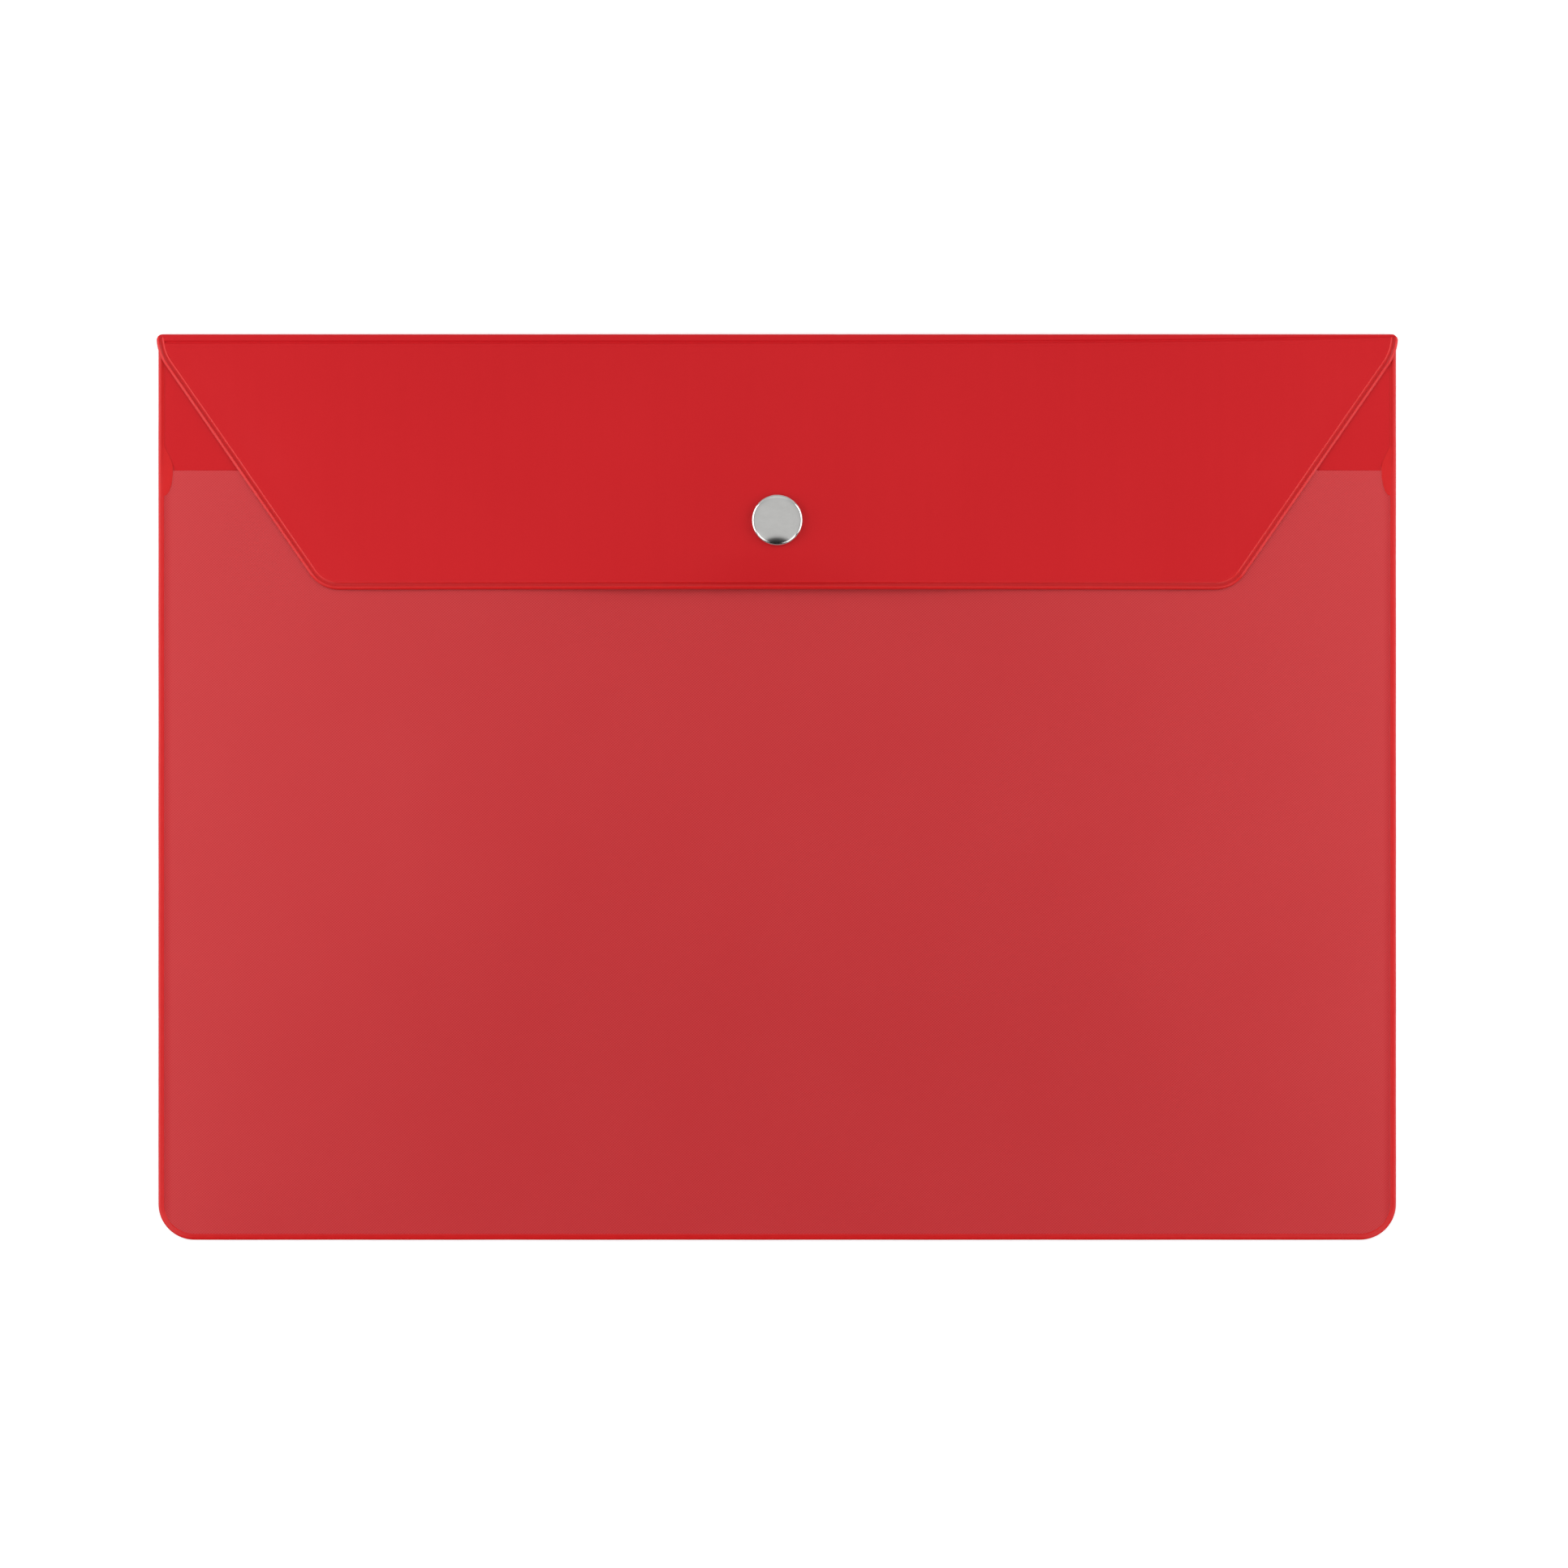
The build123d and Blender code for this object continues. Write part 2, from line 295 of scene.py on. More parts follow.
def settled(x, y, z, f=flapForm):
    # towards its slanted sides the flap settles down to just above the film or the back, not at the fold,
    # and below the press stud its lower edge droops towards the film
    p = place
    run = np.array([p["flapHalfTop"] - p["flapLowHalf"], p["flapShoulderY"] - p["flapLowY"]])
    inward = (p["flapLowHalf"] - np.abs(x)) * run[1] + (y - p["flapLowY"]) * run[0]
    near = np.exp(-((np.clip(inward, 0, None) / np.hypot(*run) / f["settleReach"]) ** 2))
    onFilm = smoothRise((p["mouthY"] + f["mouthRise"] - y) / f["blendRun"])
    below = p["sheet"] + (filmHeight(x, np.minimum(y, p["mouthY"])) + p["film"] / 2 - p["sheet"]) * onFilm
    free = smoothRise((p["foldY"] - f["foldKeep"] - y) / f["blendRun"])
    z = z - np.clip(z - below - f["settleGap"], 0, None) * near * free
    t = np.clip((f["droopFrom"] - y) / (f["droopFrom"] - p["flapLowY"]), 0, 1)
    r = f["droopRound"]
    drooped = (1 + r) * t * t / (t + r)  # level under the cap, then an even slope down to the lower edge
    spare = z - filmHeight(x, y) - p["film"] / 2 - f["droopGap"]
    return z - softHinge(spare, f["droopKnee"]) * drooped


def creaseLine(x, f=flapForm):
    # the pressed line below the fold: level on the left, running up into the fold towards the right corner
    start, run = f["creaseTurn"]
    t = np.clip((x - start) / run, 0, 1)
    return place["topY"] - f["creaseInset"] + f["creaseRise"] * t ** f["creaseCurve"]


def creaseRelief(x, y, f=flapForm):
    # a narrow groove, steep on the fold's side, with a longer slope on the flap's side
    # and a low ridge beyond it
    off = (y - creaseLine(x)) / f["creaseWidth"]
    off = np.where(off < 0, off / f["creaseLean"], off)
    ridge = f["ridgeShare"] * np.exp(-((off + f["ridgePlace"]) ** 2))
    return f["creaseDepth"] * (ridge - np.exp(-(off**2)))


filmForm = {
    "crownRun": 110.0,
    "land": 2.197,
    "room": 4.58,
    "wave": 0.035,
    "across": [(1.0, 190.0, 0.4), (0.5, 121.0, 2.1)],
    "upward": [(0.8, 170.0, 1.0), (0.4, 107.0, 0.2)],
    "skew": (0.35, -0.2),
    "calmRadius": 30.0,
}


def filmHeight(x, y, f=filmForm):
    # middle of the film: level at the welds on three sides, swelling in two parabolas to a level top,
    # plus slow waves that die out round the press stud
    p = place
    crestX = p["halfWidth"] - p["weldWidth"] - f["land"] - f["crownRun"]
    crestY = p["lowY"] + p["weldWidth"] + f["land"] + f["crownRun"]
    pastX, pastY = np.clip(np.abs(x) - crestX, 0, None), np.clip(crestY - y, 0, None)
    past = np.clip((pastX**4 + pastY**4) ** 0.25 / f["crownRun"], 0, 1)
    full = np.where(past < 0.5, 1 - 2 * past**2, 2 * (1 - past) ** 2)
    calm = 1 - np.exp(-((x / f["calmRadius"]) ** 2 + ((y - p["snapY"]) / f["calmRadius"]) ** 2))
    skewX, skewY = f["skew"]
    slow = ripple(x + skewX * y, f["across"]) * ripple(y + skewY * x, f["upward"])
    return p["filmTop"] - p["film"] / 2 - f["room"] * (1 - full) + f["wave"] * slow * full * calm


# Sheets

backSettings = {"tuck": 0.3, "columns": 120, "rows": 90, "footRows": 26}


def outlineHalf(path, y):
    # half width of a symmetric outline at the heights y, read from its right half
    right = slice(len(path["x"]) // 2, None)
    order = np.argsort(path["y"][right], kind="stable")
    return np.interp(y, path["y"][right][order], path["x"][right][order])


def bodyPath(inset):
    p = place
    x, y = p["halfWidth"] - inset, p["lowY"] + inset
    corners = [(-x, p["foldY"]), (-x, y), (x, y), (x, p["foldY"])]
    return roundedPath(corners, [p["cornerRadius"] - inset] * 2)


def tabWidth(y):
    # how far the weld tabs reach beyond the weld's inner line: a quarter oval below the mouth,
    # a slant above it
    p = place
    t = np.clip((y - p["mouthY"]) / p["tabHalf"], -1, 1)
    above = (1 - t) ** p["tabSlant"] * (1 + p["tabSlant"] * t)
    return p["tabReach"] * np.where(t < 0, np.sqrt(1 - t * t), above)


def rowsDenseAtFoot(low, high, foot, footRows, rows):
    # heights from low to high with many rows in the rounded foot
    curved = low + foot * (1 - np.cos(np.linspace(0, np.pi / 2, footRows)))
    return np.concatenate([curved, np.linspace(low + foot, high, rows)[1:]])


def makeBackPanel(s):
    p = place
    inset = p["weldWidth"] - s["tuck"]
    path = bodyPath(inset)
    y = rowsDenseAtFoot(p["lowY"] + inset, p["foldY"], p["cornerRadius"] - inset, s["footRows"], s["rows"])
    side = np.linspace(-1, 1, s["columns"])
    x = outlineHalf(path, y)[None, :] * side[:, None]
    yy = np.broadcast_to(y, x.shape)
    over = np.stack([x, yy, np.full(x.shape, p["sheet"])], -1)
    under = np.stack([x, yy, np.zeros(x.shape)], -1)
    return sheetSolid("backPanel", over, under)


filmSettings = {
    "tuck": 0.06, "columns": 170, "rows": 120, "footRows": 24, "tabRows": 22,
    "sideBias": 0.25, "lip": 0.35, "lipDrop": 0.13, "lipRows": 7,
}


def makePocketFilm(s):
    p = place
    inset = p["weldWidth"] - s["tuck"]
    path = bodyPath(inset)
    tabFoot = p["mouthY"] - p["tabHalf"]
    foot = p["cornerRadius"] - inset
    low = rowsDenseAtFoot(p["lowY"] + inset, tabFoot, foot, s["footRows"], s["rows"])
    swing = np.linspace(0, np.pi / 2, s["tabRows"])[1:]
    tab = tabFoot + (p["tabHalf"] - s["lip"]) * (1 - np.cos(swing))
    turn = np.linspace(0, np.pi / 2, s["lipRows"])[1:]
    lip = p["mouthY"] - s["lip"] * (1 - np.sin(turn))
    y = np.concatenate([low, tab, lip])
    side = np.linspace(-1, 1, s["columns"])
    side = side * (1 + s["sideBias"] * (1 - side**2))  # closer columns towards the sides
    x = (outlineHalf(path, y) - tabWidth(y))[None, :] * side[:, None]
    yy = np.broadcast_to(y, x.shape)
    z = filmHeight(x, yy)
    past = np.clip((yy - p["mouthY"] + s["lip"]) / s["lip"], 0, 1)
    over = np.stack([x, yy, z + p["film"] / 2 - s["lipDrop"] * (1 - np.sqrt(1 - past**2))], -1)
    under = np.stack([x, yy, z - p["film"] / 2], -1)
    return sheetSolid("pocketFilm", over, under)


flapSettings = {
    "tuck": 1.80, "columns": 150, "rows": 76, "foot": 3.3, "footRows": 22,
    "edgeFrom": 109.0, "edgeRows": 34, "underRelief": 0.6,
}


def flapPath(inset):
    p = place
    top, low = p["flapHalfTop"] - inset, p["flapLowY"] + inset
    run = np.array([p["flapHalfTop"] - p["flapLowHalf"], p["flapShoulderY"] - p["flapLowY"]])
    slant = np.hypot(*run)
    lowX = p["flapLowHalf"] + (low - p["flapLowY"]) * run[0] / run[1] - inset * slant / run[1]
    shoulder = p["flapLowY"] + (top + inset * slant / run[1] - p["flapLowHalf"]) * run[1] / run[0]
    over = p["foldY"] + p["shoulderRadius"]  # runs past the fold, so that the shoulder's arc fits
    right = [(lowX, low), (top, shoulder), (top, over)]
    corners = [(-x, y) for x, y in right[::-1]] + right
    radii = [p["shoulderRadius"] - inset, p["flapCornerRadius"] - inset]
    return roundedPath(corners, radii + radii[::-1])


def makeFlapPanel(s):
    p = place
    path = flapPath(s["tuck"])
    low = p["flapLowY"] + s["tuck"]
    y = np.concatenate([
        rowsDenseAtFoot(low, s["edgeFrom"], s["foot"], s["footRows"], s["rows"]),
        np.linspace(s["edgeFrom"], p["foldY"], s["edgeRows"])[1:],
    ])
    x = outlineHalf(path, y)[None, :] * np.linspace(-1, 1, s["columns"])[:, None]
    yy = np.broadcast_to(y, x.shape)
    z = flapHeight(x, yy)
    relief = creaseRelief(x, yy)
    over = np.stack([x, yy, z + p["sheet"] / 2 + relief], -1)
    under = np.stack([x, yy, z - p["sheet"] / 2 + s["underRelief"] * relief], -1)
    return sheetSolid("flapPanel", over, under)


def endRounding(y):
    # how far the fold's and the flap's rounded upper corners draw in from the straight side
    radius = place["endRadius"]
    past = np.clip(y - (place["topY"] - radius), 0, radius)
    return radius - np.sqrt(radius**2 - past**2)


foldSettings = {"columns": 240, "steps": 40}


def makeFoldStrip(s):
    # half a tube of sheet round the fold's axis, its two ends rounded off in plan,
    # the crease pressed into its upper side
    p = place
    phi = np.linspace(-np.pi / 2, np.pi / 2, s["steps"])
    along = np.linspace(-1, 1, s["columns"])[:, None]

    def skin(radius):
        y = p["foldY"] + radius * np.cos(phi)[None, :]
        x = along * (p["flapHalfTop"] - endRounding(y))
        yy = y + 0 * x
        z = p["foldZ"] + radius * np.sin(phi)[None, :] + 0 * x
        pressed = creaseRelief(x, yy) * np.clip(np.sin(phi), 0, 1)[None, :]
        return np.stack([x, yy + pressed * np.cos(phi), z + pressed * np.sin(phi)], -1)

    half = p["sheet"] / 2
    return sheetSolid("foldStrip", skin(p["foldRadius"] + half), skin(p["foldRadius"] - half))


backPanel = makeBackPanel(backSettings)
pocketFilm = makePocketFilm(filmSettings)
flapPanel = makeFlapPanel(flapSettings)
foldStrip = makeFoldStrip(foldSettings)
print("sheets made")


# Fused bands: a profile carried along the outline, each point with its distance in from the edge, its height,
# and its painted light along the sides and along the lower edge: painted highlights on the slopes that face
# the lamps, painted shade in the grooves

weldSettings = {
    "profile": [
        (0.0, 0.16, 0.1, 0.5), (0.02, 0.25, 0.15, 0.5), (0.07, 0.305, 0.25, 0.55),
        (0.20, 0.37, 0.45, 0.6), (0.36, 0.435, 0.65, 0.62), (0.50, 0.475, 0.62, 0.62),
        (0.65, 0.505, 0.55, 0.62), (0.80, 0.53, 0.47, 0.6), (0.95, 0.555, 0.45, 0.55),
        (1.10, 0.58, 0.5, 0.5), (1.22, 0.60, 0.55, 0.45), (1.32, 0.605, 0.55, 0.4),
        (1.40, 0.59, 0.45, 0.35), (1.47, 0.555, 0.35, 0.3), (1.54, 0.50, 0.35, 0.3),
        (1.60, 0.45, 0.35, 0.3), (1.50, 0.10, 0.4, 0.4), (1.20, 0.02, 0.5, 0.4), (0.90, 0.03, 0.5, 0.4),
        (0.55, 0.015, 0.5, 0.4), (0.25, 0.02, 0.5, 0.4), (0.08, 0.05, 0.5, 0.4), (0.015, 0.09, 0.5, 0.4),
    ],
    "step": 0.9,
    "tabStations": 60,
    "sideSlack": 0.01,
    "widen": (1.14, 0.14),
    "waves": [(0.003, 4.7, 0.2), (0.004, 17.0, 0.6)],
    "waveRise": (0.3, 0.2),
    "waveSkew": 1.7,
    "edgeWaves": [(0.01, 43.0, 0.3), (0.004, 19.3, 1.9)],
    "edgeRun": 0.3,
    "thinUpward": (-1.0, 4.0),
    "thinInward": (0.7, 0.75),
    "thinKeep": 0.05,
}


def sideShare(left, full=0.8):
    # one along the sides, nought along the level lower edge
    return smoothRise(np.abs(left[:, :1]) / full)


def makeEdgeWeld(s):
    p = place
    path = bodyPath(0.0)
    total = path["s"][-1]
    even = np.linspace(0, total, int(total / s["step"]))
    swing = np.sin(np.linspace(-np.pi / 2, np.pi / 2, s["tabStations"]))
    tabS = p["foldY"] - p["mouthY"] + p["tabHalf"] * swing
    stations = np.unique(np.concatenate([even, path["s"], tabS, total - tabS]).round(4))
    at, left = alongPath(path, stations)
    profile = np.array(s["profile"])
    d, z, paintedLightSides, paintedLightLow = profile.T
    onSide = np.abs(at[:, 0]) > p["halfWidth"] - s["sideSlack"]
    tab = np.where(onSide, tabWidth(at[:, 1]), 0.0)[:, None]
    outer = np.clip(1 - d / s["edgeRun"], 0, 1)
    inward = d + tab * smoothRise(d, *s["widen"]) + outer * ripple(stations, s["edgeWaves"])[:, None]
    riseFrom, riseRun = s["waveRise"]
    upper = np.clip((z - riseFrom) / riseRun, 0, 1)
    height = z + upper * ripple(stations[:, None] + s["waveSkew"] * d, s["waves"])
    # above the mouth the fused band thins out inwards
    upward = smoothRise(at[:, 1:] - p["mouthY"], *s["thinUpward"])
    spare = np.clip(height - p["sheet"] - s["thinKeep"], 0, None)
    height = height - spare * upward * smoothRise(d, *s["thinInward"])
    xy = at[:, None] + left[:, None] * inward[..., None]
    # painted light per profile point: painted highlights on slopes facing the lamps, painted shade in grooves
    # and along the lower edge
    paintedLight = paintedLightLow + (paintedLightSides - paintedLightLow) * sideShare(left)
    return sweptSolid("edgeWeld", np.concatenate([xy, height[..., None]], -1), paintedLight=paintedLight)


beadSettings = {
    "profile": [
        (0.0, -0.10, 0.3, 0.2), (0.04, -0.06, 0.4, 0.25), (0.12, -0.02, 0.55, 0.35),
        (0.22, 0.035, 0.68, 0.5), (0.34, 0.10, 0.74, 0.6), (0.45, 0.165, 0.74, 0.6),
        (0.54, 0.21, 0.68, 0.6), (0.61, 0.228, 0.5, 0.55), (0.67, 0.222, 0.3, 0.45),
        (0.75, 0.175, 0.2, 0.3), (0.84, 0.11, 0.15, 0.15), (0.93, 0.055, 0.15, 0.1),
        (1.03, 0.025, 0.15, 0.05), (1.18, 0.01, 0.2, 0.05), (1.34, 0.01, 0.3, 0.05),
        (1.48, 0.02, 0.4, 0.1), (1.56, 0.040, 0.6, 0.15), (1.64, 0.080, 0.8, 0.25),
        (1.73, 0.132, 0.8, 0.35), (1.81, 0.168, 0.6, 0.4), (1.90, 0.168, 0.45, 0.4),
        (1.97, 0.15, 0.4, 0.4), (2.02, 0.12, 0.4, 0.4), (2.02, -0.12, 0.4, 0.4),
        (1.95, -0.148, 0.4, 0.4), (1.85, -0.16, 0.4, 0.4), (1.72, -0.16, 0.4, 0.4),
        (1.55, -0.14, 0.4, 0.4), (1.35, -0.13, 0.4, 0.4), (1.15, -0.14, 0.4, 0.4),
        (0.95, -0.15, 0.4, 0.4), (0.70, -0.17, 0.4, 0.4), (0.45, -0.20, 0.4, 0.4),
        (0.25, -0.20, 0.4, 0.3), (0.10, -0.18, 0.4, 0.2), (0.02, -0.14, 0.4, 0.2),
    ],
    "lowRelief": 0.55,
    "step": 0.8,
    "grow": 2.5,
    "waves": [(0.002, 5.3, 0.1), (0.004, 13.0, 1.3)],
    "waveRise": 0.2,
    "waveSkew": 2.3,
    "edgeWaves": [(0.01, 61.0, 0.8), (0.004, 21.0, 0.4)],
    "edgeRun": 0.4,
    "cornerRun": 1.2,
    "plainRise": 0.1,
}


def makeFlapBead(s):
    path = flapPath(0.0)
    half = len(path["s"]) // 2
    first = np.interp(-place["foldY"], -path["y"][:half], path["s"][:half])  # where the path leaves the fold
    last = path["s"][-1] - first
    knots = path["s"][(path["s"] > first) & (path["s"] < last)]
    even = np.linspace(first, last, int((last - first) / s["step"]))
    stations = np.unique(np.concatenate([even, knots]).round(4))
    at, left = alongPath(path, stations)
    profile = np.array(s["profile"])
    d, z, paintedLightSides, paintedLightLow = profile.T
    outer = np.clip(1 - d / s["edgeRun"], 0, 1)
    inward = d + outer * ripple(stations, s["edgeWaves"])[:, None]
    inward = inward + np.clip(1 - d / s["cornerRun"], 0, 1) * endRounding(at[:, 1])[:, None]
    xy = at[:, None] + left[:, None] * inward[..., None]
    waves = ripple(stations[:, None] + s["waveSkew"] * d, s["waves"])
    relief = z + np.clip(z / s["waveRise"], 0, 1) * waves
    grown = np.minimum(stations - first, last - stations)[:, None] / s["grow"]
    # as thick as the sheet where it leaves the fold
    plain = np.clip(z / s["plainRise"], -1, 1) * place["sheet"] / 2
    pressed = s["lowRelief"] + (1 - s["lowRelief"]) * sideShare(left)
    relief = plain + (relief - plain) * smoothRise(grown) * pressed
    height = flapHeight(xy[..., 0], xy[..., 1]) + relief
    # painted light per profile point: painted highlights on slopes facing the lamps, painted shade in grooves
    # and along the lower edge
    paintedLight = paintedLightLow + (paintedLightSides - paintedLightLow) * sideShare(left)
    return sweptSolid("flapBead", np.concatenate([xy, height[..., None]], -1), paintedLight=paintedLight)


edgeWeld = makeEdgeWeld(weldSettings)
flapBead = makeFlapBead(beadSettings)
print("fused bands made")


# Press stud: turned parts about one upright axis, heights from the film or from the flap

capSettings = {
    "radius": 6.4, "crest": 2.0, "shoulder": 1.35, "edgeRound": 0.72, "wall": 0.35,
    "rimRound": 0.22, "curl": 4.6, "curlCut": 0.1,
    "domeSteps": 26, "edgeSteps": 18, "rimSteps": 7, "segments": 160,
}


def makeCapShell(s):
    # a shallow spherical dome, a rounded shoulder, an upright wall and a rim curled in under it
    def skin(radius, crest, shoulder, edgeRound, low):
        drop = crest - shoulder
        dome = (radius**2 + drop**2) / (2 * drop)
        reach = dome - edgeRound
        edgeX = radius - edgeRound
        tilt = math.asin(edgeX / reach)
        edgeZ = crest - dome + reach * math.cos(tilt)
        a = np.linspace(0, tilt, s["domeSteps"])
        b = np.linspace(tilt, np.pi / 2, s["edgeSteps"])[1:]
        r = np.concatenate([dome * np.sin(a), edgeX + edgeRound * np.sin(b), [radius]])
        z = np.concatenate([crest - dome + dome * np.cos(a), edgeZ + edgeRound * np.cos(b), [low]])
        return np.stack([r, z], -1)

    w, low, inner, cut = s["wall"], s["rimRound"], s["curl"], s["curlCut"]
    outside = skin(s["radius"], s["crest"], s["shoulder"], s["edgeRound"], low)
    inside = skin(s["radius"] - w, s["crest"] - w, s["shoulder"] - w / 2, s["edgeRound"] - w, w)
    c = np.linspace(0, np.pi / 2, s["rimSteps"])[1:]
    curl = np.stack([s["radius"] - low + low * np.cos(c), low - low * np.sin(c)], -1)
    rim = np.array([(inner + cut, 0.0), (inner, cut), (inner, w - cut), (inner + cut, w)])
    profile = np.concatenate([outside, curl, rim, inside[::-1]])
    y, z = place["snapY"], place["flapTop"]
    return turnedSolid("capShell", profile, y, z, closed=False, segments=s["segments"])


turnedSettings = {
    "capPost": {
        "base": "flapTop", "cut": 0.09,
        "outline": [
            (1.25, -0.75), (2.1, -0.75), (2.1, -0.50), (1.6, -0.50),
            (1.6, 0.35), (6.0, 0.35), (6.0, 0.75), (1.25, 0.75),
        ],
    },
    "snapSocket": {
        "base": "filmTop", "cut": 0.14,
        "outline": [
            (2.95, 0.55), (4.3, 0.55), (4.3, 3.05), (5.0, 3.05), (5.0, 3.55), (1.65, 3.55),
            (1.65, 3.20), (3.2, 3.20), (3.2, 1.65), (3.7, 1.65), (3.7, 0.75), (2.95, 0.75),
        ],
    },
    "snapStud": {
        "base": "filmTop", "cut": 0.13,
        "outline": [
            (1.65, 0.0), (4.8, 0.0), (4.8, 0.4), (2.3, 0.4), (2.3, 1.55),
            (2.7, 1.8), (2.7, 2.1), (2.3, 2.5), (1.65, 2.5),
        ],
    },
    "studPost": {
        "base": "filmTop", "cut": 0.09,
        "outline": [
            (1.25, -0.6), (4.5, -0.6), (4.5, -0.2), (1.6, -0.2),
            (1.6, 2.5), (2.1, 2.5), (2.1, 2.75), (1.25, 2.75),
        ],
    },
}


def makeTurned(name, s):
    return turnedSolid(name, softened(s["outline"], s["cut"]), place["snapY"], place[s["base"]])


springSettings = {
    "radius": 2.8, "wire": 0.4, "height": 1.2, "gap": 30.0,
    "endRound": 0.35, "endShare": 0.75, "stations": 120, "around": 16,
}


def makeSocketSpring(s):
    # a round wire carried along an open ring, drawn in to rounded ends
    angle = np.radians(np.linspace(0, 360 - s["gap"], s["stations"]))
    arc = s["radius"] * np.minimum(angle, angle[-1] - angle)
    t = np.clip(1 - arc / s["endRound"], 0, 1)
    thick = s["wire"] * np.sqrt(1 - s["endShare"] * t * t)
    turn = np.linspace(0, 2 * np.pi, s["around"], endpoint=False)
    r = s["radius"] + thick[:, None] * np.cos(turn)
    z = place["filmTop"] + s["height"] + thick[:, None] * np.sin(turn)
    x, y = r * np.cos(angle)[:, None], place["snapY"] + r * np.sin(angle)[:, None]
    return sweptSolid("socketSpring", np.stack([x, y, z], -1), sharpAngle=60.0)


capShell = makeCapShell(capSettings)
turned = {name: makeTurned(name, s) for name, s in turnedSettings.items()}
socketSpring = makeSocketSpring(springSettings)
print("press stud made")


# Shader effects that several finishes share

def newGroup(name, inputs, outputs):
    group = bpy.data.node_groups.new(name, "ShaderNodeTree")
    for label, kind, value in inputs:
        socket = group.interface.new_socket(name=label, in_out="INPUT", socket_type=kind)
        if value is not None:
            socket.default_value = value
    for label, kind in outputs:
        group.interface.new_socket(name=label, in_out="OUTPUT", socket_type=kind)
    return group, group.nodes.new("NodeGroupInput"), group.nodes.new("NodeGroupOutput")


def addNode(tree, kind, **values):
    # a node with its properties and unlinked inputs set by name
    node = tree.nodes.new(kind)
    for key, value in values.items():
        if hasattr(node, key):
            setattr(node, key, value)
        else:
            node.inputs[key.replace("_", " ")].default_value = value
    return node


def mathNode(tree, operation, a, b=None, clamp=False):
    node = addNode(tree, "ShaderNodeMath", operation=operation, use_clamp=clamp)
    for slot, value in enumerate((a, b)):
        if value is None:
            continue
        if isinstance(value, (int, float)):
            node.inputs[slot].default_value = value
        else:
            tree.links.new(value, node.inputs[slot])
    return node.outputs[0]


def weighted(tree, *terms):
    # a sum of values, each times its weight
    parts = [mathNode(tree, "MULTIPLY", value, weight) for value, weight in terms]
    total = parts[0]
    for part in parts[1:]:
        total = mathNode(tree, "ADD", total, part)
    return total


def noiseField(tree, vector, scale, detail=2.0, rough=0.5, stretch=None):
    # noise in the piece's own place, stretched by a mapping where wanted
    if stretch is not None:
        mapping = addNode(tree, "ShaderNodeMapping")
        mapping.inputs["Scale"].default_value = stretch
        tree.links.new(vector, mapping.inputs["Vector"])
        vector = mapping.outputs["Vector"]
    noise = addNode(tree, "ShaderNodeTexNoise", Scale=scale, Detail=detail, Roughness=rough)
    tree.links.new(vector, noise.inputs["Vector"])
    return noise.outputs["Fac"]


calenderShape = {
    "grain": 2600.0, "streak": (420.0, 5.0, 60.0), "cloud": 14.0,
    "cloudTone": 0.6, "grainTone": 0.4, "grainRelief": 0.5,
}


def makeCalenderGroup(s):
    # rolled plastic sheet: fine grain, long faint streaks up the sheet and slow cloudiness
    group, into, out = newGroup(
        "calenderedSheet",
        [("Vector", "NodeSocketVector", None), ("Streaks", "NodeSocketFloat", 0.5)],
        [("Tone", "NodeSocketFloat"), ("Height", "NodeSocketFloat")],
    )
    vector = into.outputs["Vector"]
    grain = noiseField(group, vector, s["grain"])
    streak = noiseField(group, vector, 1.0, detail=3.0, rough=0.6, stretch=s["streak"])
    cloud = noiseField(group, vector, s["cloud"])
    centred = mathNode(group, "SUBTRACT", streak, 0.5)
    streaks = mathNode(group, "MULTIPLY", centred, into.outputs["Streaks"])
    tone = weighted(group, (cloud, s["cloudTone"]), (grain, s["grainTone"]))
    group.links.new(mathNode(group, "ADD", tone, streaks, clamp=True), out.inputs["Tone"])
    height = mathNode(group, "ADD", mathNode(group, "MULTIPLY", grain, s["grainRelief"]), streaks)
    group.links.new(height, out.inputs["Height"])
    return group


fuseShape = {"lumps": 520.0, "spots": 1500.0, "pitFrom": 0.62, "pitTo": 0.74, "pitTone": 0.3}


def makeFuseGroup(s):
    # melted plastic: soft lumps along the band and small sharp pits
    group, into, out = newGroup(
        "fusedPlastic",
        [("Vector", "NodeSocketVector", None), ("Pits", "NodeSocketFloat", 0.5)],
        [("Tone", "NodeSocketFloat"), ("Height", "NodeSocketFloat")],
    )
    vector = into.outputs["Vector"]
    lumps = noiseField(group, vector, s["lumps"], detail=3.0, rough=0.55)
    spots = noiseField(group, vector, s["spots"])
    ramp = addNode(group, "ShaderNodeMapRange", From_Min=s["pitFrom"], From_Max=s["pitTo"])
    group.links.new(spots, ramp.inputs["Value"])
    pits = mathNode(group, "MULTIPLY", ramp.outputs["Result"], into.outputs["Pits"])
    dim = mathNode(group, "MULTIPLY", pits, s["pitTone"])
    group.links.new(mathNode(group, "SUBTRACT", lumps, dim, clamp=True), out.inputs["Tone"])
    group.links.new(mathNode(group, "SUBTRACT", lumps, pits), out.inputs["Height"])
    return group


embossShape = {
    "patches": 26.0, "patchShare": 0.4, "firstShare": 0.64, "secondShare": 0.68, "depth": 0.66,
    "sideReach": 0.138, "sidePower": 4.0, "marginFrom": 0.1514, "marginTo": 0.1534,
    "ridgeTone": 0.85, "patchTone": 0.08,
}


